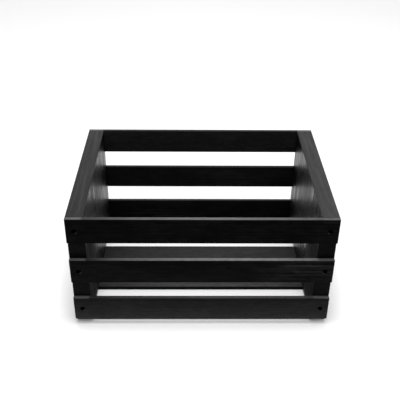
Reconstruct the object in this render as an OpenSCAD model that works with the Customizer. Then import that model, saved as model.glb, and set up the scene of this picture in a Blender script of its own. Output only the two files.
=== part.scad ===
// Open-topped slatted wooden crate.
// Two solid end panels carry three slats along the front, three along the back and four
// across the underside. One countersunk wood screw holds each end of each slat.
// Frame: X runs along the slats, Y from front to back, Z up. The origin is on the surface
// that the crate stands on, in the middle of its footprint.

/* [Crate] */
// Overall length, along the slats
crate_length = 305; // [260:5:420]
// Overall depth, from the front slats' faces to the back slats' faces
crate_depth = 220; // [214:2:300]

/* [Boards] */
// Thickness of each end panel
panel_thickness = 20; // [16:0.5:26]
// Thickness of every slat
slat_thickness = 5; // [4:0.5:8]
// Width of every slat
slat_width = 32.5; // [28:0.5:34]
// Rounding along each board's long edges
edge_radius = 0.6; // [0.3:0.1:1]

/* [Side slats] */
// Open gap between one side slat and the next
side_gap = 24; // [12:0.5:40]
// How far the end panels reach below the lowest side slat
panel_reveal = 3; // [0:0.5:10]

/* [Bottom slats] */
// Open gap between one bottom slat and the next
floor_gap = 23; // [12:0.5:25]
// Distance from the end panels' front ends to the first bottom slat
floor_setback = 3; // [0:0.5:10]

/* [Screws] */
// Length of a screw, from the top of its head to its point
screw_length = 20; // [16:1:30]
// Diameter of a screw's shank over its thread
shank_diameter = 3; // [2.5:0.1:3.5]
// Diameter of a screw's head
head_diameter = 5.6; // [5:0.1:6]
// Diameter of the well that a head is sunk into
well_diameter = 6; // [6:0.1:7]
// Depth of a head's top below the slat's face
head_recess = 1; // [0.5:0.1:1.2]

/* [Hidden] */
$fn = 48;

side_rows = 3;       // slats on each long side
floor_rows = 4;      // slats across the underside
fit_gap = 0.03;      // radial room round a shank, so that no two solids overlap
cut = 1;             // how far a cutting shape runs past the face it cuts
bore_spare = 1;      // how far a pilot bore runs past the screw's point
head_lip = 0.3;      // straight rim at the top of a screw's head
point_length = 5;    // length of a screw's tapered end
drive_width = 0.8;   // one arm of the cross recess, across
drive_span = 3.4;    // one arm of the cross recess, end to end
drive_depth = 1.3;   // depth of the cross recess
drive_turn = 40;     // each head along a slat stops this many degrees further round

panel_depth = crate_depth - 2 * slat_thickness;
side_pitch = slat_width + side_gap;
floor_pitch = slat_width + floor_gap;
side_height = side_rows * slat_width + (side_rows - 1) * side_gap;
panel_height = panel_reveal + side_height;
panel_bottom = slat_thickness;
panel_x = (crate_length - panel_thickness) / 2;

// Height of the middle of side slat i, counted from the bottom
function side_z(i) = panel_bottom + panel_reveal + slat_width / 2 + i * side_pitch;

// Distance of the middle of bottom slat i behind the crate's middle, counted from the front
function floor_y(i) = floor_setback - panel_depth / 2 + slat_width / 2 + i * floor_pitch;

shank_r = shank_diameter / 2;
hole_r = shank_r + fit_gap;
head_r = head_diameter / 2;
well_r = well_diameter / 2;
// The head and the well have the same 90 degree cone, so depths and radii change together
cone_start = head_recess + head_lip;
well_depth = cone_start - (well_r - head_r);
seat_depth = cone_start + head_r - hole_r;

// Rectangle centred on the origin, with round corners
module rounded_rect(width, height, r) {
    square([width - 2 * r, height], center = true);
    square([width, height - 2 * r], center = true);
    for (x = [-1, 1], y = [-1, 1])
        translate([x * (width / 2 - r), y * (height / 2 - r)])
            circle(r);
}

// The hole for one screw through a slat, cut down from z = 0, the slat's outer face
module screw_hole() {
    rotate_extrude()
        polygon([
            [0, cut], [well_r, cut], [well_r, -well_depth], [hole_r, -seat_depth],
            [hole_r, -slat_thickness - cut], [0, -slat_thickness - cut]
        ]);
}

// The bore for one screw in an end panel, cut down from z = 0, the slat's outer face
module pilot_bore() {
    bore_end = head_recess + screw_length + bore_spare;
    translate([0, 0, -bore_end])
        cylinder(h = bore_end, r = hole_r);
}

// One countersunk wood screw, its point down, in the same place as its hole
module wood_screw(turn) {
    shank_start = head_lip + head_r - shank_r;
    translate([0, 0, -head_recess])
        difference() {
            rotate_extrude()
                polygon([
                    [0, 0], [head_r, 0], [head_r, -head_lip], [shank_r, -shank_start],
                    [shank_r, point_length - screw_length], [0, -screw_length]
                ]);
            for (a = [0, 90])
                rotate(turn + a)
                    translate([-drive_span / 2, -drive_width / 2, -drive_depth])
                        cube([drive_span, drive_width, drive_depth + cut]);
        }
}

// One slat lying flat, with its outer face at z = 0 and its width along Y
module slat() {
    color([0.07, 0.07, 0.07])
        difference() {
            translate([0, 0, -slat_thickness / 2])
                rotate([90, 0, 90])
                    linear_extrude(crate_length, center = true)
                        rounded_rect(slat_width, slat_thickness, edge_radius);
            for (side = [-1, 1])
                translate([side * panel_x, 0, 0])
                    screw_hole();
        }
}

// The two screws of one slat, in the slat's own frame; row sets how far round they stopped
module slat_screws(row) {
    color([0.02, 0.02, 0.02])
        for (side = [-1, 1])
            translate([side * panel_x, 0, 0])
                wood_screw((2 * row + side) * drive_turn);
}

// Placements that put a flat slat's frame at side row i or floor row i
module at_front(i) {
    translate([0, -crate_depth / 2, side_z(i)])
        rotate([90, 0, 0])
            children();
}

module at_back(i) {
    translate([0, crate_depth / 2, side_z(i)])
        rotate([-90, 0, 0])
            children();
}

module at_floor(i) {
    translate([0, floor_y(i), 0])
        rotate([180, 0, 0])
            children();
}

// One end panel: side is -1 for the left one and 1 for the right one
module end_panel(side) {
    color([0.1, 0.1, 0.1])
        difference() {
            translate([side * panel_x, 0, panel_bottom + panel_height / 2])
                rotate([90, 0, 0])
                    linear_extrude(panel_depth, center = true)
                        rounded_rect(panel_thickness, panel_height, edge_radius);
            for (i = [0 : side_rows - 1]) {
                at_front(i) translate([side * panel_x, 0, 0]) pilot_bore();
                at_back(i) translate([side * panel_x, 0, 0]) pilot_bore();
            }
            for (i = [0 : floor_rows - 1])
                at_floor(i) translate([side * panel_x, 0, 0]) pilot_bore();
        }
}

end_panel(-1);  // left_end_panel
end_panel(1);  // right_end_panel

at_front(0) slat();  // front_slat_bottom
at_front(1) slat();  // front_slat_middle
at_front(2) slat();  // front_slat_top
at_back(0) slat();  // back_slat_bottom
at_back(1) slat();  // back_slat_middle
at_back(2) slat();  // back_slat_top
at_floor(0) slat();  // floor_slat_front
at_floor(1) slat();  // floor_slat_mid_front
at_floor(2) slat();  // floor_slat_mid_back
at_floor(3) slat();  // floor_slat_back

at_front(0) slat_screws(0);  // front_bottom_screws
at_front(1) slat_screws(1);  // front_middle_screws
at_front(2) slat_screws(2);  // front_top_screws
at_back(0) slat_screws(3);  // back_bottom_screws
at_back(1) slat_screws(4);  // back_middle_screws
at_back(2) slat_screws(5);  // back_top_screws
at_floor(0) slat_screws(6);  // floor_front_screws
at_floor(1) slat_screws(7);  // floor_mid_front_screws
at_floor(2) slat_screws(8);  // floor_mid_back_screws
at_floor(3) slat_screws(9);  // floor_back_screws
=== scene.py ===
"""An open-topped, slatted wooden crate, stained black, on a white studio floor.

Every board and every screw is built here inside the box of the CAD node that it stands for.
Lengths are in metres. A board has its own three directions: along the grain, across its
width, and through its thickness towards its outer face.
"""
import math

import bpy
import numpy as np
from mathutils import Matrix, Vector, noise


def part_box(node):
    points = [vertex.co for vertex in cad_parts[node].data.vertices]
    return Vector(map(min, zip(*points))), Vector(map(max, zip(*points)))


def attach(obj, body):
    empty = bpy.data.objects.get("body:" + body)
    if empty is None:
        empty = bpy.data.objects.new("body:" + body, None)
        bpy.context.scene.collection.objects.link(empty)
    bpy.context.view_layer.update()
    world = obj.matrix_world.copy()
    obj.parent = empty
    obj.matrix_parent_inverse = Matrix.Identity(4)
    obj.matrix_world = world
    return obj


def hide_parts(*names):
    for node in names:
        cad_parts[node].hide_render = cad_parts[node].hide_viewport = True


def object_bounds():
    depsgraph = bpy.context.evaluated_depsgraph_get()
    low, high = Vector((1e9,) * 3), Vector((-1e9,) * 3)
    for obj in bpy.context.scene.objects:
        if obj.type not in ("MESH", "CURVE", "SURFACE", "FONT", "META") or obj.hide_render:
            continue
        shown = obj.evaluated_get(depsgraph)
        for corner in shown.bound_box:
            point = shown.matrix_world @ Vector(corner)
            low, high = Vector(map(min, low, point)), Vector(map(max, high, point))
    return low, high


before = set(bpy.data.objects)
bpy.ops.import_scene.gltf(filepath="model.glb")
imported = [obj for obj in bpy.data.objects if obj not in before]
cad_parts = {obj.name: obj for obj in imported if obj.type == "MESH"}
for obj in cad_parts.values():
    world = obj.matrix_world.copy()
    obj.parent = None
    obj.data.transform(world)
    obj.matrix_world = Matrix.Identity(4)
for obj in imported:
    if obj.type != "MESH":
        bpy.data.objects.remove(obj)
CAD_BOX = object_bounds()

MM = 0.001
X, Y, Z = 0, 1, 2

# ---------------------------------------------------------------- the crate's parts

# slat: (grain axis, width axis, axis and side of its outer face, its screws)
SLATS = {
    "front_slat_bottom": (X, Z, Y, -1, "front_bottom_screws"),
    "front_slat_middle": (X, Z, Y, -1, "front_middle_screws"),
    "front_slat_top": (X, Z, Y, -1, "front_top_screws"),
    "back_slat_bottom": (X, Z, Y, 1, "back_bottom_screws"),
    "back_slat_middle": (X, Z, Y, 1, "back_middle_screws"),
    "back_slat_top": (X, Z, Y, 1, "back_top_screws"),
    "floor_slat_front": (X, Y, Z, -1, "floor_front_screws"),
    "floor_slat_mid_front": (X, Y, Z, -1, "floor_mid_front_screws"),
    "floor_slat_mid_back": (X, Y, Z, -1, "floor_mid_back_screws"),
    "floor_slat_back": (X, Y, Z, -1, "floor_back_screws"),
}
PANELS = {"left_end_panel": -1, "right_end_panel": 1}

END_ARRIS = 0.4 * MM       # softening of a board's sawn ends, which the CAD model leaves sharp

# Sizes that the nodes' boxes don't give, the same as in the CAD model
ARRIS = 0.6 * MM           # rounding of a board's long edges
WELL_R = 3.0 * MM
WELL_DEPTH = 1.1 * MM
SEAT_DEPTH = 2.57 * MM
BORE_R = 1.53 * MM
BORE_SPARE = 1.0 * MM
HEAD_LIP = 0.3 * MM
SHANK_R = 1.5 * MM
POINT = 5.0 * MM
DRIVE_TURN = 40            # degrees from one head along a slat to the next
SCREW_INSET = 10 * MM      # a screw's middle, in from a slat's end

# Mesh density
PATCH = 5.0 * MM           # half the side of the square of cells that a hole takes up
PATCH_CELLS = 10
SLAT_STEPS = (2.6 * MM, 1.5 * MM, 1.3 * MM)    # cell sizes along, across and through a slat
PANEL_STEPS = (3 * MM, 3 * MM, 2.4 * MM)       # and along, across and through an end panel
# Grid lines over an arris, as shares of its width, so that they land evenly round its arc
ARC = [math.tan(math.radians(a)) for a in (0, 11.25, 22.5, 33.75, 45)]


# ---------------------------------------------------------------- mesh building

def spaced(lo, hi, step):
    """Even positions from lo to hi, about step apart, both ends included."""
    return list(np.linspace(lo, hi, max(1, round((hi - lo) / step)) + 1))


def grid_lines(half, arris, step, holes):
    """Grid positions along one direction: fine over both arrises and across each hole."""
    rise = [half - arris + arris * t for t in ARC]
    out = [-p for p in reversed(rise)]
    for hole in sorted(holes):
        out += spaced(out[-1], hole - PATCH, step)[1:]
        out += spaced(out[-1], hole + PATCH, 2 * PATCH / PATCH_CELLS)[1:]
    out += spaced(out[-1], rise[0], step)[1:]
    return out + rise[1:]


class Board:
    """A closed box of quads round (0, 0, 0), with finer cells at its edges and its holes.

    A hole is (direction, side, centre, rings, far): the direction it is sunk along, the side
    it starts from, its centre in the two other directions, the (radius, depth) of its rings,
    and the radius of its mouth in the opposite face, or None where it ends inside the board.
    """

    def __init__(self, size, steps, arrises, holes):
        self.half = [s / 2 for s in size]
        self.arrises = arrises
        self.points = []
        self.wall = []
        self.faces = []
        self.index = {}
        self.lines = []
        for d in range(3):
            # Rounded, so that two holes in line with each other share their grid lines
            at = {round(h[2][others(h[0]).index(d)], 6) for h in holes if h[0] != d}
            self.lines.append(grid_lines(self.half[d], arrises[d], steps[d], at))
        for d in range(3):
            for side in (-1, 1):
                open_cells = set()
                for hole in holes:
                    if hole[0] == d and (hole[1] == side or hole[4] is not None):
                        rows, columns = self.cells(hole)
                        open_cells |= {(p, q) for p in rows for q in columns}
                self.side(d, side, open_cells)
        for hole in holes:
            self.hole(hole)
        self.round_edges()

    def add(self, point, wall=False):
        self.points.append(list(point))
        self.wall.append(wall)
        return len(self.points) - 1

    def face(self, corners, side):
        self.faces.append(corners if side > 0 else corners[::-1])

    def join(self, outer, inner, side):
        """One band of quads between two closed rings of vertices."""
        n = len(outer)
        for i in range(n):
            k = (i + 1) % n
            self.face([outer[i], outer[k], inner[k], inner[i]], side)

    def corner(self, d, side, p, q):
        """The vertex of one side at grid lines p and q, shared between sides at an edge."""
        a, b = others(d)
        key = [0, 0, 0]
        key[d] = len(self.lines[d]) - 1 if side > 0 else 0
        key[a], key[b] = p, q
        key = tuple(key)
        if key not in self.index:
            self.index[key] = self.add([self.lines[i][key[i]] for i in range(3)])
        return self.index[key]

    def side(self, d, side, open_cells):
        a, b = others(d)
        for p in range(len(self.lines[a]) - 1):
            for q in range(len(self.lines[b]) - 1):
                if (p, q) not in open_cells:
                    ring = [(p, q), (p + 1, q), (p + 1, q + 1), (p, q + 1)]
                    self.face([self.corner(d, side, *c) for c in ring], side)

    def cells(self, hole):
        """The rows and the columns of cells that a hole takes up."""
        found = []
        for d, c in zip(others(hole[0]), hole[2]):
            gaps = [abs(line - (c - PATCH)) for line in self.lines[d]]
            start = gaps.index(min(gaps))
            found.append(range(start, start + PATCH_CELLS))
        return found

    def ring(self, d, side, centre, radius, depth):
        """The points of a circle, in step with the vertices round a hole's square."""
        a, b = others(d)
        out = []
        for i in range(4 * PATCH_CELLS):
            turn = math.radians(225) + math.tau * i / (4 * PATCH_CELLS)
            point = [0, 0, 0]
            point[d] = side * (self.half[d] - depth)
            point[a] = centre[0] + radius * math.cos(turn)
            point[b] = centre[1] + radius * math.sin(turn)
            out.append(point)
        return out

    def mouth(self, d, side, hole, radius):
        """Closes a hole's square down to a circle in one face, and returns the circle."""
        rows, columns = self.cells(hole)
        p0, p1, q0, q1 = rows[0], rows[-1] + 1, columns[0], columns[-1] + 1
        n = range(PATCH_CELLS)
        walk = [(p0 + i, q0) for i in n] + [(p1, q0 + i) for i in n]
        walk += [(p1 - i, q1) for i in n] + [(p0, q1 - i) for i in n]
        square = [self.corner(d, side, *c) for c in walk]
        starts = [self.points[i] for i in square]
        ends = self.ring(d, side, hole[2], radius, 0)
        outer = square
        for share in (0.35, 0.7, 1):
            inner = [self.add(np.array(s) + (np.array(e) - np.array(s)) * share)
                     for s, e in zip(starts, ends)]
            self.join(outer, inner, side)
            outer = inner
        return outer

    def hole(self, hole):
        d, side, centre, rings, far = hole
        outer = self.mouth(d, side, hole, rings[0][0])
        for radius, depth in rings[1:]:
            circle = self.ring(d, side, centre, radius, depth)
            inner = [self.add(p, wall=True) for p in circle]
            self.join(outer, inner, side)
            outer = inner
        if far is not None:
            self.join(outer, self.mouth(d, -side, hole, far), side)
            return
        tip = np.mean([self.points[i] for i in outer], axis=0)
        middle = self.add(tip, wall=True)
        for i in range(len(outer)):
            self.face([outer[i], outer[(i + 1) % len(outer)], middle], side)

    def round_edges(self):
        """Rounds the box's edges, and keeps each vertex's outward direction and sharpness.

        self.edge is 0 on a flat face and 1 along the middle of a rounded edge.
        """
        p = np.array(self.points)
        flat = np.array(self.half) - np.array(self.arrises)
        past = (p - np.clip(p, -flat, flat)) / np.array(self.arrises)
        wall = np.array(self.wall)
        past[wall] = 0
        length = np.linalg.norm(past, axis=1, keepdims=True)
        unit = past / np.maximum(length, 1e-9)
        rounded = np.clip(p, -flat, flat) + unit * np.array(self.arrises)
        self.points = np.where(wall[:, None], p, rounded)
        self.out = unit
        ordered = np.sort(np.abs(unit), axis=1)
        self.edge = ordered[:, 1] / np.maximum(ordered[:, 2], 1e-9)


def others(d):
    """The two directions that lie across direction d, in right-handed order."""
    return [(d + 1) % 3, (d + 2) % 3]


def drift(points, scale, shift):
    """Smooth noise from -1 to 1 at each point, stretched by scale (waves per metre)."""
    at = points * np.array(scale) + shift
    return np.array([noise.noise(Vector(p)) for p in at])


WAVE = 0.02 * MM           # how deep the planed faces' waves are
RIPPLE = 0.01 * MM         # how deep the finer ripples on them are
DENT = 0.03 * MM           # how deep the dents in the arrises are


def wear_down(board, seed):
    """Planed but real wood: faces a little wavy and arrises worn, always inwards."""
    p = board.points
    wave = 0.5 + 0.5 * drift(p, (14, 70, 70), seed)
    fine = 0.5 + 0.5 * drift(p, (45, 260, 260), seed + 31)
    dents = np.clip(drift(p, (65, 90, 90), seed + 57) - 0.15, 0, 1)
    sink = WAVE * wave + RIPPLE * fine
    sink += board.edge ** 2 * (WAVE * wave + DENT * dents)
    board.points = p - board.out * sink[:, None]


def mesh_object(name, points, faces, axes, centre):
    """A new object from points in a part's own directions, placed in the crate's frame."""
    turn = np.array(axes)
    mesh = bpy.data.meshes.new(name)
    placed = np.array(points) @ turn + np.array(centre)
    if np.linalg.det(turn) < 0:
        faces = [f[::-1] for f in faces]
    mesh.from_pydata(placed.tolist(), [], faces)
    mesh.validate()
    mesh.polygons.foreach_set("use_smooth", [True] * len(mesh.polygons))
    obj = bpy.data.objects.new(name, mesh)
    bpy.context.scene.collection.objects.link(obj)
    return obj


def attribute(obj, name, values):
    """Stores one number or one vector per vertex for the materials to read."""
    values = np.asarray(values, np.float32)
    kind, key = ("FLOAT", "value") if values.ndim == 1 else ("FLOAT_VECTOR", "vector")
    obj.data.attributes.new(name, kind, "POINT").data.foreach_set(key, values.ravel())


def even_shading(obj):
    """Flat faces stay flat next to narrow rounded edges."""
    weighted = obj.modifiers.new("even_shading", "WEIGHTED_NORMAL")
    weighted.keep_sharp = True


# ---------------------------------------------------------------- materials

class Nodes:
    """Short names for the shader nodes that the materials here use."""

    def __init__(self, name):
        self.material = bpy.data.materials.new(name)
        self.material.use_nodes = True
        self.tree = self.material.node_tree
        self.shader = self.tree.nodes["Principled BSDF"]

    def put(self, socket, value):
        if isinstance(value, bpy.types.NodeSocket):
            self.tree.links.new(value, socket)
        else:
            socket.default_value = value

    def node(self, kind, *inputs, **settings):
        made = self.tree.nodes.new("ShaderNode" + kind)
        for key, value in settings.items():
            setattr(made, key, value)
        for socket, value in zip(made.inputs, inputs):
            if value is not None:
                self.put(socket, value)
        return made

    def read(self, name, vector=False):
        made = self.node("Attribute", attribute_name=name)
        return made.outputs["Vector" if vector else "Fac"]

    def maths(self, operation, a, b=0.0):
        return self.node("Math", a, b, operation=operation).outputs[0]

    def scaled(self, vector, scale):
        made = self.node("VectorMath", vector, scale, operation="MULTIPLY")
        return made.outputs[0]

    def cloud(self, vector, scale, detail=2.0, rough=0.5):
        """Noise from 0 to 1, its waves per metre given along each direction."""
        made = self.node("TexNoise")
        self.put(made.inputs["Vector"], self.scaled(vector, scale))
        made.inputs["Scale"].default_value = 1.0
        made.inputs["Detail"].default_value = detail
        made.inputs["Roughness"].default_value = rough
        return made

    def between(self, value, lo, hi, out_lo=0.0, out_hi=1.0):
        """A smooth step from out_lo at lo to out_hi at hi."""
        made = self.node("MapRange", value, lo, hi, out_lo, out_hi)
        made.interpolation_type = "SMOOTHSTEP"
        return made.outputs[0]

    def mixed(self, share, a, b):
        made = self.node("Mix", data_type="RGBA")
        self.put(made.inputs["Factor"], share)
        self.put(made.inputs["A"], a)
        self.put(made.inputs["B"], b)
        return made.outputs["Result"]

    def mixed_value(self, share, a, b):
        made = self.node("Mix", share)
        self.put(made.inputs["A"], a)
        self.put(made.inputs["B"], b)
        return made.outputs["Result"]

    def bump(self, height, distance, under=None):
        made = self.node("Bump")
        made.inputs["Strength"].default_value = 1.0
        made.inputs["Distance"].default_value = distance
        self.put(made.inputs["Height"], height)
        if under is not None:
            self.put(made.inputs["Normal"], under)
        return made.outputs["Normal"]


def grey(value):
    return (value, value, value, 1.0)


BLACK = grey(0.0)
# Pale grey mixed in both as dust and as painted light
DUST_AND_LIGHT_GREY = grey(0.25)


def stained_wood(name, lit, dullness, ior, fuzz, chatter=0.0):
    """Straight-grained softwood under a thin black stain with a satin finish.

    The stain runs from black to lit, its lightest tone. dullness is the base roughness,
    fuzz the depth of the fibres, and chatter how far the planer's marks across the grain
    change the roughness. The mesh gives grain (position along, across and through the board,
    moved so that every board is cut from its own place in the log), edge (1 on an arris), rub
    (1 where the stain is rubbed thin), dust_and_painted_light (how much pale grey is mixed in:
    dust, and painted light where light or shade falls), broad (1 on its two broad faces) and
    dull (1 where it is handled dull).
    """
    n = Nodes(name)
    grain = n.read("grain", vector=True)
    rub = n.read("rub")
    dust_and_painted_light = n.read("dust_and_painted_light")
    edge = n.read("edge")

    # Fibres wander slowly across the board
    wander = n.cloud(grain, (6, 16, 16), 1.0).outputs["Color"]
    centred = n.node("VectorMath", wander, (0.5, 0.5, 0.5), operation="SUBTRACT").outputs[0]
    bent = n.node("VectorMath", grain, n.scaled(centred, (0, 0.003, 0.003)), operation="ADD")
    bent = bent.outputs[0]

    # Growth rings round the log's middle, which lies along the grain outside the board
    across = n.scaled(bent, (0, 1, 1))
    radius = n.node("VectorMath", across, operation="LENGTH").outputs["Value"]
    uneven = n.node("TexNoise", noise_dimensions="1D")
    n.put(uneven.inputs["W"], n.maths("MULTIPLY", radius, 95.0))
    uneven.inputs["Scale"].default_value = 1.0
    uneven.inputs["Detail"].default_value = 1.0
    turns = n.maths("MULTIPLY", radius, 330.0)
    turns = n.maths("ADD", turns, n.maths("MULTIPLY", uneven.outputs["Fac"], 2.6))
    phase = n.maths("FRACT", turns)
    late = n.maths("MULTIPLY", n.between(phase, 0.15, 0.85), n.between(phase, 1.0, 0.93))

    long_streak = n.cloud(bent, (10, 420, 420), 3.0, 0.6).outputs["Fac"]
    short_streak = n.cloud(bent, (75, 300, 300), 3.0, 0.65).outputs["Fac"]
    streak = n.mixed_value(0.72, long_streak, short_streak)
    fibre = n.cloud(bent, (28, 1500, 1500), 2.0, 0.6).outputs["Fac"]
    blotch = n.cloud(bent, (30, 75, 75), 4.0, 0.65).outputs["Fac"]
    checks = n.between(n.cloud(bent, (24, 700, 700), 1.0).outputs["Fac"], 0.66, 0.74)

    # Stain: blackest in the soft early wood and in the checks, thinner on the late wood
    depth = n.maths("ADD", n.maths("MULTIPLY", streak, 0.5), n.maths("MULTIPLY", late, 0.08))
    depth = n.maths("ADD", depth, n.maths("MULTIPLY", blotch, 0.5))
    tone = n.mixed(n.between(depth, 0.44, 0.72), BLACK, grey(lit))

    # Rubbed places and chafed arrises: bare wood comes through in bands along the grain
    band = n.cloud(bent, (16, 260, 260), 4.0, 0.75).outputs["Fac"]
    bare = n.mixed(n.between(band, 0.4, 0.62), grey(lit * 0.5), grey(lit * 9))
    shown = n.maths("ADD", streak, n.maths("MULTIPLY", late, 0.3))
    thin = n.maths("MULTIPLY", rub, n.between(shown, 0.4, 0.85))
    chafed = n.cloud(grain, (60, 240, 240), 2.0).outputs["Fac"]
    chafed = n.maths("MULTIPLY", n.maths("POWER", edge, 3.0), n.between(chafed, 0.5, 0.7))
    thin = n.maths("MAXIMUM", thin, n.maths("MULTIPLY", chafed, 0.5))
    tone = n.mixed(thin, tone, bare)
    tone = n.mixed(n.maths("MULTIPLY", checks, 0.6), tone, BLACK)

    # Dust, and painted light where light or shade falls on the crate: a thin pale grey layer, a
    # little thicker on the lighter streaks
    specks = n.cloud(grain, (160, 420, 420), 3.0, 0.65).outputs["Fac"]
    dust_and_light_amount = n.maths("MULTIPLY", dust_and_painted_light, n.between(depth, 0.3, 0.8, 0.75, 1.0))
    dust_and_light_amount = n.maths("MULTIPLY", dust_and_light_amount, n.between(specks, 0.3, 0.7, 0.88, 1.1))
    dust_and_light_amount = n.maths("MULTIPLY", dust_and_light_amount, n.between(streak, 0.35, 0.65, 0.93, 1.07))
    tone = n.mixed(dust_and_light_amount, tone, DUST_AND_LIGHT_GREY)
    n.put(n.shader.inputs["Base Color"], tone)

    rough = n.maths("ADD", n.maths("MULTIPLY", streak, 0.25), n.maths("MULTIPLY", blotch, 0.14))
    rough = n.maths("ADD", rough, n.maths("MULTIPLY", late, -0.05))
    rough = n.maths("ADD", rough, n.maths("MULTIPLY", thin, 0.1))
    marks = n.cloud(grain, (230, 12, 12), 2.0, 0.6).outputs["Fac"]
    marks = n.between(marks, 0.3, 0.7, -chatter, chatter)
    rough = n.maths("ADD", rough, n.maths("MULTIPLY", marks, n.read("broad")))
    rough = n.maths("ADD", rough, n.maths("MULTIPLY", n.read("dull"), 0.5))
    n.put(n.shader.inputs["Roughness"], n.maths("ADD", rough, dullness))
    n.shader.inputs["IOR"].default_value = ior

    normal = n.bump(late, 0.012 * MM)
    normal = n.bump(streak, 0.08 * MM, normal)
    normal = n.bump(fibre, fuzz, normal)
    normal = n.bump(checks, -0.06 * MM, normal)
    n.put(n.shader.inputs["Normal"], normal)
    return n.material


def blackened_steel(name):
    """Screw steel under thin black paint, scuffed to grey round the drive and the head."""
    n = Nodes(name)
    place = n.node("TexCoord").outputs["Object"]
    mottle = n.cloud(place, (900, 900, 900), 3.0, 0.6).outputs["Fac"]
    scuff = n.cloud(place, (2600, 2600, 2600), 2.0).outputs["Fac"]
    rim = n.maths("MULTIPLY", n.read("edge"), n.between(scuff, 0.4, 0.65))
    paint = n.mixed(n.between(mottle, 0.35, 0.7), BLACK, grey(0.0004))
    n.put(n.shader.inputs["Base Color"], n.mixed(rim, paint, grey(0.004)))
    n.put(n.shader.inputs["Metallic"], n.maths("MULTIPLY", rim, 0.3))
    n.put(n.shader.inputs["Roughness"], n.between(mottle, 0.3, 0.75, 0.35, 0.55))
    n.shader.inputs["IOR"].default_value = 1.03
    n.put(n.shader.inputs["Normal"], n.bump(mottle, 0.03 * MM))
    return n.material


def studio_white(name):
    n = Nodes(name)
    place = n.node("TexCoord").outputs["Object"]
    cloudy = n.cloud(place, (3, 3, 3), 2.0).outputs["Fac"]
    n.put(n.shader.inputs["Base Color"], n.mixed(cloudy, grey(0.93), grey(0.96)))
    n.shader.inputs["Roughness"].default_value = 0.9
    n.shader.inputs["IOR"].default_value = 1.05
    return n.material


# ---------------------------------------------------------------- the boards

def unit(axis, side=1):
    out = [0.0, 0.0, 0.0]
    out[axis] = float(side)
    return out


def screw_spots(node, axis):
    """Where a slat's two screws are: both middles along X, their middle across the slat and
    which axis that is, both their ends along their own axis, and their heads' radius.
    """
    lo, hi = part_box(node)
    cross = Z if axis == Y else Y
    radius = (hi[cross] - lo[cross]) / 2
    return {
        "xs": [lo.x + radius, hi.x - radius],
        "across": (lo[cross] + hi[cross]) / 2,
        "cross": cross,
        "ends": (lo[axis], hi[axis]),
        "radius": radius,
    }


def well_rings():
    """The (radius, depth) of each ring of a sunk screw hole, its lip a little eased."""
    ease = 0.15 * MM
    half_cone = (SEAT_DEPTH - WELL_DEPTH) / 2
    past_seat = 1.2 * MM
    return [
        (WELL_R + ease, 0),
        (WELL_R + 0.3 * ease, 0.3 * ease),
        (WELL_R, ease),
        (WELL_R, WELL_DEPTH / 2),
        (WELL_R, WELL_DEPTH),
        (WELL_R - half_cone, WELL_DEPTH + half_cone),
        (BORE_R, SEAT_DEPTH),
        (BORE_R, SEAT_DEPTH + past_seat),
    ]


# slat: the places where its stain is rubbed thin, as (centre and half length along the
# grain, strength)
RUBBED = {
    "front_slat_middle": [(0.128, 0.08, 0.55)],
    "front_slat_top": [(0.14, 0.03, 0.12)],
    "back_slat_top": [(-0.13, 0.04, 0.3), (0.13, 0.03, 0.3)],
    "back_slat_middle": [(0.05, 0.05, 0.25)],
    "back_slat_bottom": [(-0.06, 0.07, 0.3)],
}
RIM_RUB = 0.8              # how far the stain is rubbed off the end panels' top edges
PAINTED_LOW_GLOW = 0.138           # painted light: how much paler the outsides are painted down at the ground, as if lit by the bright floor
GLOW_FALL = 26 * MM        # height over which that painted light fades out
PANEL_SHARE = 0.4          # the end panels' share of it
FLOOR_PAINTED_LIGHT = 0.026         # painted light: how pale the bottom slats are painted at least, which lifts their shaded edges
LEDGE_PAINTED_LIGHT = 0.4           # painted light: how pale a side slat's top is painted where it lies against an end panel, a corner in shade
LEDGE_LIGHT_START = 132.6 * MM   # where that begins, out from the slat's middle
WELL_HIGHLIGHT = 0.2             # painted highlight: how pale a screw well's wall is painted, low down towards the slat's middle, where it catches the light
# slat: how pale its inner face is painted, painted light that is strongest on the top slat and
# least on the bottom one
INSIDE_PAINTED_LIGHT = {"back_slat_top": 0.033, "back_slat_middle": 0.021, "back_slat_bottom": 0.016}
# board: how pale its upper face is at its palest place, dust and painted top light together,
# how fast that falls off along the board, and where that place is, from -1 at one end to 1 at
# the other
DUST_AND_LIGHT_ABOVE = {
    "front_slat_top": (0.52, 0.7, 0.1),
    "front_slat_middle": (0.92, 0.72, 0.25),
    "front_slat_bottom": (0.31, 0.6, 0.2),
    "floor_slat_mid_back": (0.15, 0.5, 0.1),
    "floor_slat_mid_front": (0.26, 0.6, 0.1),
    "left_end_panel": (0.005, 0.0, 0.0),
    "right_end_panel": (0.055, 0.3, -1.0),
}
PLAIN_TOP = (0.12, 0.2, 0.0)     # the same for every other board
DULL_FROM = 35 * MM        # an end panel's inner face is dull from here towards the front
DULL_BLEND = 35 * MM       # over how far along the panel that begins
DULL_TOP = 46 * MM         # and from here down, both measured from the panel's middle
DULL_FADE = 20 * MM        # over how far down it begins


def rub_of(name, local, upwards):
    """Where the stain is rubbed thin: an end panel's top edge and the places in RUBBED."""
    rub = RIM_RUB * upwards ** 2 if name in PANELS else np.zeros(len(local))
    for centre, reach, strength in RUBBED.get(name, []):
        fall = np.clip(1 - np.abs(local[:, 0] - centre) / reach, 0, 1)
        rub = np.maximum(rub, strength * fall * fall * (3 - 2 * fall))
    return rub


def dull_of(name, board):
    """Where an end panel's inner face is handled dull: towards the front, below the rim."""
    if name not in PANELS:
        return np.zeros(len(board.points))
    p = board.points
    front = np.clip((-p[:, 0] - DULL_FROM) / DULL_BLEND, 0, 1)
    low = np.clip((DULL_TOP - p[:, 1]) / DULL_FADE, 0, 1)
    return front * low * np.clip(-board.out[:, 2], 0, 1)


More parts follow.
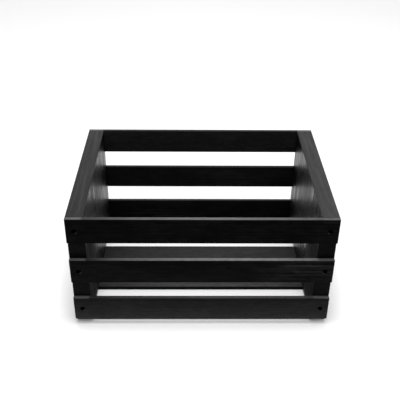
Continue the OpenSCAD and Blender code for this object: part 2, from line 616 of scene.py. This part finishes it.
def dust_and_painted_light_of(name, board, axes, centre):
    """Dust and painted light: painted light low on the outsides, inside the back slats, on the
    bottom slats, by the end panels and in the screw wells, and dust with painted top light on
    what faces up.
    """
    turn = np.array(axes)
    p = board.points
    height = (p @ turn + np.array(centre))[:, 2]
    inside = np.clip(-board.out[:, 2], 0, 1)
    # Painted light: the outsides are painted paler low down, fading with height
    dust_and_painted_light = PAINTED_LOW_GLOW * np.exp(-height / GLOW_FALL) * (1 - np.clip(2 * inside, 0, 1))
    lies_flat = turn[2, 2] != 0
    if name in PANELS:
        dust_and_painted_light *= PANEL_SHARE
    # Painted light: the bottom slats are painted a little paler all over, lifting their shaded
    # edges
    if lies_flat:
        dust_and_painted_light[:] = FLOOR_PAINTED_LIGHT
    # Painted light on the back slats' inner faces
    dust_and_painted_light = np.maximum(dust_and_painted_light, INSIDE_PAINTED_LIGHT.get(name, 0.0) * inside)
    # Dust and painted top light on upward faces, set board by board and side by side
    most, loss, place = DUST_AND_LIGHT_ABOVE.get(name, PLAIN_TOP)
    along = p[:, 0] / board.half[0] - place
    upwards = np.clip((board.out @ turn)[:, 2], 0, 1)
    dust_and_light_amount = most * (1 - loss * along ** 2)
    # Painted light on a side slat's top next to an end panel, where it would be in shade
    if name in SLATS and not lies_flat:
        dust_and_light_amount = np.where(np.abs(p[:, 0]) > LEDGE_LIGHT_START, LEDGE_PAINTED_LIGHT, dust_and_light_amount)
    dust_and_painted_light = np.maximum(dust_and_painted_light, dust_and_light_amount * upwards ** 2)
    # Painted highlight: a pale crescent on each screw well's wall
    if name in SLATS:
        hole_x = board.half[0] - SCREW_INSET
        lip = (0.8 * (hole_x - np.abs(p[:, 0])) - 0.6 * p[:, 1]) / WELL_R
        lip = np.clip(2 * lip - 0.8, 0, 1) * (p[:, 2] > board.half[2] - SEAT_DEPTH)
        dust_and_painted_light = np.where(board.wall, WELL_HIGHLIGHT * lip, dust_and_painted_light)
    return dust_and_painted_light


def finish_board(board, name, node, axes, centre, seed, material):
    """Wears the board's mesh, places it, and gives it its materials and what they read."""
    local = board.points.copy()
    upwards = np.clip((board.out @ np.array(axes))[:, 2], 0, 1)
    wear_down(board, seed * 7.3)
    obj = mesh_object(name, board.points, board.faces, axes, centre)
    log = (0.41 * seed, 0.045 + 0.011 * (seed * 5 % 4), 0.02 + 0.009 * (seed * 3 % 5))
    attribute(obj, "grain", local + np.array(log))
    attribute(obj, "edge", board.edge)
    attribute(obj, "rub", rub_of(node, local, upwards))
    attribute(obj, "dust_and_painted_light", dust_and_painted_light_of(node, board, axes, centre))
    attribute(obj, "broad", board.out[:, 2] ** 2)
    attribute(obj, "dull", dull_of(node, board))
    even_shading(obj)
    obj.data.materials.append(material)
    obj.data.materials.append(end_grain)
    sawn = np.abs(local[:, 0]) > board.half[0] - 0.5 * END_ARRIS
    at_end = [bool(sawn[list(face)].all()) for face in board.faces]
    obj.data.polygons.foreach_set("material_index", at_end)
    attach(obj, "root")
    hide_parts(node)
    return obj


def make_slat(node, layout, seed, material):
    grain_axis, width_axis, face_axis, side, screws = layout
    lo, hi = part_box(node)
    centre = (lo + hi) / 2
    size = hi - lo
    spots = screw_spots(screws, face_axis)
    holes = []
    for x in spots["xs"]:
        at = (x - centre.x, spots["across"] - centre[width_axis])
        holes.append((2, 1, at, well_rings(), BORE_R))
    board = Board(
        (size[grain_axis], size[width_axis], size[face_axis]),
        SLAT_STEPS,
        (END_ARRIS, ARRIS, ARRIS),
        holes,
    )
    axes = (unit(grain_axis), unit(width_axis), unit(face_axis, side))
    return finish_board(board, node.replace("slat", "board"), node, axes, centre, seed,
                        material)


def make_panel(node, side, seed, material):
    """An end panel: grain along Y, width up, its outer face towards side, and ten bores."""
    lo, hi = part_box(node)
    centre = (lo + hi) / 2
    size = hi - lo
    holes = []
    for _, _, face_axis, face_side, screws in SLATS.values():
        spots = screw_spots(screws, face_axis)
        if face_axis == Y:
            tip = spots["ends"][1 if face_side < 0 else 0]
            reach = size.y / 2 - abs(tip) + BORE_SPARE
            at = (spots["across"] - centre.z, 0.0)
            holes.append((0, face_side, at, bore_rings(reach), None))
        else:
            reach = spots["ends"][1] - lo.z + BORE_SPARE
            at = (0.0, spots["across"] - centre.y)
            holes.append((1, -1, at, bore_rings(reach), None))
    board = Board(
        (size.y, size.z, size.x),
        PANEL_STEPS,
        (END_ARRIS, ARRIS, ARRIS),
        holes,
    )
    axes = (unit(Y), unit(Z), unit(X, side))
    name = node.replace("panel", "board")
    return finish_board(board, name, node, axes, centre, seed, material)


def bore_rings(reach):
    """A pilot bore's rings, reach deep, with a drill's cone at the bottom."""
    return [(BORE_R, 0), (BORE_R, 0.4 * reach), (BORE_R, reach - BORE_R / 2),
            (0.4 * BORE_R, reach - 0.1 * BORE_R)]


# ---------------------------------------------------------------- the screws

# The drive recess, in mm
DRIVE = [0.28, 0.42, 0.75, 1.1, 1.45, 1.7, 1.9]     # its grid lines, out from the middle
ARM_HALF = 0.29            # half an arm's width
ARM_REACH = 1.46           # an arm's length from the middle
DRIVE_DEEP = 1.3           # its depth in the middle
ARM_RISE = 0.42            # how much shallower an arm is for each mm outwards
RIM_HALF = 0.43            # the rim round an arm: half its width
RIM_REACH = 1.6            # and its length from the middle

THREAD_PITCH = 1.3 * MM
THREAD_CORE = 1.05 * MM
THREAD_START = 6.0 * MM


def drive_depth(x, y):
    """Depth of the cross recess, in mm: four tapered arms, deepest in the middle."""
    depth = 0.0
    for along, across in ((abs(x), abs(y)), (abs(y), abs(x))):
        if across <= ARM_HALF and along <= ARM_REACH:
            depth = max(depth, DRIVE_DEEP - ARM_RISE * along)
    return depth


class Screw:
    """A countersunk wood screw, its head's top at (0, 0, 0) and its point along -Z.

    self.edge is above 0 where the paint is scuffed: round the drive and round the head.
    """

    def __init__(self, radius, length):
        self.points = []
        self.faces = []
        self.edge = []
        grid = [-v for v in reversed(DRIVE)] + DRIVE
        n = len(grid)
        for y in grid:
            for x in grid:
                sunk = drive_depth(x, y)
                rim = min(abs(x), abs(y)) < RIM_HALF and max(abs(x), abs(y)) < RIM_REACH
                lip = 0.7 if sunk == 0 and rim else 0.0
                self.add((x * MM, y * MM, -sunk * MM), lip)
        for j in range(n - 1):
            for i in range(n - 1):
                a = j * n + i
                self.faces.append([a, a + 1, a + n + 1, a + n])
        ring = [i for i in range(n)] + [j * n + n - 1 for j in range(1, n)]
        ring += [(n - 1) * n + i for i in range(n - 2, -1, -1)]
        ring += [j * n for j in range(n - 2, 0, -1)]
        turns = [math.atan2(self.points[i][1], self.points[i][0]) for i in ring]
        seat = HEAD_LIP + radius - SHANK_R
        # The head from its flat top down its cone to the shank, as (radius, depth)
        profile = [
            (radius - 0.45 * MM, 0), (radius - 0.12 * MM, 0), (radius - 0.03 * MM, 0.05 * MM),
            (radius, 0.14 * MM), (radius, HEAD_LIP), (radius - 0.65 * MM, HEAD_LIP + 0.65 * MM),
            (SHANK_R, seat), (SHANK_R, THREAD_START - THREAD_PITCH),
        ]
        for r, depth in profile:
            lip = 0.5 if r >= radius - 0.12 * MM and depth < HEAD_LIP else 0.0
            ring = self.band(ring, [r] * len(turns), turns, depth, lip)

        # The thread: a crest that winds down to the point
        step = THREAD_PITCH / 8
        depths = np.arange(THREAD_START - 0.5 * THREAD_PITCH, length - 0.15 * MM, step)
        for depth in depths:
            taper = min(1.0, (length - depth) / POINT)
            rise = min(1.0, (depth - THREAD_START + 0.5 * THREAD_PITCH) / THREAD_PITCH)
            core = THREAD_CORE + (SHANK_R - THREAD_CORE) * (1 - rise)
            radii = []
            for turn in turns:
                phase = (depth / THREAD_PITCH + turn / math.tau) % 1.0
                crest = max(0.0, 1 - abs(phase - 0.5) * 4)
                radii.append(max((core + (SHANK_R - core) * crest) * taper, 0.05 * MM))
            ring = self.band(ring, radii, turns, depth, 0.0)
        tip = self.add((0, 0, -length), 0.0)
        for i in range(len(ring)):
            self.faces.append([ring[(i + 1) % len(ring)], ring[i], tip])

    def add(self, point, edge):
        self.points.append(point)
        self.edge.append(edge)
        return len(self.points) - 1

    def band(self, outer, radii, turns, depth, edge):
        inner = [self.add((r * math.cos(t), r * math.sin(t), -depth), edge)
                 for r, t in zip(radii, turns)]
        count = len(outer)
        for i in range(count):
            k = (i + 1) % count
            self.faces.append([outer[k], outer[i], inner[i], inner[k]])
        return inner


def make_screws(node, face_axis, side, row, material):
    spots = screw_spots(node, face_axis)
    top, tip = spots["ends"] if side < 0 else spots["ends"][::-1]
    screw = Screw(spots["radius"], abs(tip - top))
    out = Vector(unit(face_axis, side))
    across = Vector(unit(X))
    third = out.cross(across)
    points, faces, edge = [], [], []
    for index, x in enumerate(spots["xs"]):
        turn = math.radians((2 * row + (-1, 1)[index]) * DRIVE_TURN)
        c, s = math.cos(turn), math.sin(turn)
        base = len(points)
        origin = Vector((0, 0, 0))
        origin[spots["cross"]] = spots["across"]
        origin[face_axis] = top
        origin.x = x
        for px, py, pz in screw.points:
            points.append(origin + across * (px * c - py * s) + third * (px * s + py * c)
                          + out * pz)
        faces += [[i + base for i in f] for f in screw.faces]
        edge += screw.edge
    name = node.replace("screws", "wood_screws")
    obj = mesh_object(name, points, faces, np.eye(3), (0, 0, 0))
    attribute(obj, "edge", edge)
    even_shading(obj)
    obj.data.materials.append(material)
    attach(obj, "root")
    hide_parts(node)
    return obj


# ---------------------------------------------------------------- stage, lights, camera

FLOOR_REACH = 6.0          # from the crate to each edge of the floor
FLOOR_GAP = 0.05 * MM      # so that the crate's underside and the floor never share a plane


def make_floor(material):
    r = FLOOR_REACH
    corners = [(-r, -r, 0), (r, -r, 0), (r, r, 0), (-r, r, 0)]
    below = CAD_BOX[0].z - FLOOR_GAP
    floor = mesh_object("studio_floor", corners, [[0, 1, 2, 3]], np.eye(3), (0, 0, below))
    floor.data.materials.append(material)


def soft_light(name, place, aim, size, strength):
    """A rectangular softbox. strength is its power for each square metre of its face."""
    light = bpy.data.lights.new(name, "AREA")
    light.shape = "RECTANGLE"
    light.size, light.size_y = size
    light.energy = strength * size[0] * size[1]
    obj = bpy.data.objects.new(name, light)
    bpy.context.scene.collection.objects.link(obj)
    obj.location = place
    obj.rotation_mode = "QUATERNION"
    obj.rotation_quaternion = (Vector(aim) - Vector(place)).to_track_quat("-Z", "Y")
    obj.visible_camera = False


def make_world(strength):
    world = bpy.data.worlds.new("studio")
    world.use_nodes = True
    background = world.node_tree.nodes["Background"]
    background.inputs["Color"].default_value = (1, 1, 1, 1)
    background.inputs["Strength"].default_value = strength
    bpy.context.scene.world = world


def make_camera():
    """In front of the crate and a little left of its middle, looking down into it."""
    yaw, pitch, roll = 0.01766, 0.56993, 0.01179      # to the right, down and over, in radians
    place = (-0.01404, -0.71113, 0.56466)
    ahead = Vector((math.sin(yaw) * math.cos(pitch), math.cos(yaw) * math.cos(pitch),
                    -math.sin(pitch)))
    level = Vector((math.cos(yaw), -math.sin(yaw), 0))
    up = level.cross(ahead)
    right = math.cos(roll) * level + math.sin(roll) * up
    top = -math.sin(roll) * level + math.cos(roll) * up
    camera = bpy.data.cameras.new("camera")
    camera.sensor_width = 36
    camera.lens = 59.71
    camera.clip_start = 0.01
    obj = bpy.data.objects.new("camera", camera)
    bpy.context.scene.collection.objects.link(obj)
    turn = Matrix((right, top, -ahead)).transposed().to_4x4()
    obj.matrix_world = Matrix.Translation(place) @ turn
    bpy.context.scene.camera = obj


# ---------------------------------------------------------------- everything together

bpy.context.scene.view_settings.view_transform = "Standard"

slat_wood = stained_wood("slat_wood", 0.0028, 0.18, 1.08, 0.05 * MM)
panel_wood = stained_wood("panel_wood", 0.0026, 0.22, 1.32, 0.1 * MM, chatter=0.12)
end_grain = stained_wood("end_grain", 0.0035, 0.3, 1.1, 0.1 * MM)
screw_steel = blackened_steel("screw_steel")

for number, (slat_node, slat_layout) in enumerate(SLATS.items()):
    make_slat(slat_node, slat_layout, number + 1, slat_wood)
    make_screws(slat_layout[4], slat_layout[2], slat_layout[3], number, screw_steel)
for number, (panel_node, panel_side) in enumerate(PANELS.items()):
    make_panel(panel_node, panel_side, number + 21, panel_wood)

make_floor(studio_white("studio_white"))
make_world(0.53)
# Each softbox: where it stands, what it points at, its width and height, and its strength
soft_light("back_left_softbox", (-0.55, 1.75, 1.4), (-0.1, 0, 0.1), (1.1, 1.5), 1.9)
soft_light("back_right_softbox", (0.65, 1.75, 1.4), (0.1, 0, 0.1), (1.2, 1.5), 2.2)
soft_light("top_softbox", (0, -0.085, 1.8), (0, -0.085, 0), (0.5, 0.39), 95)
soft_light("front_softbox", (0, -1.2, 1.7), (0, -0.1, 0), (1.8, 1.0), 8)
make_camera()
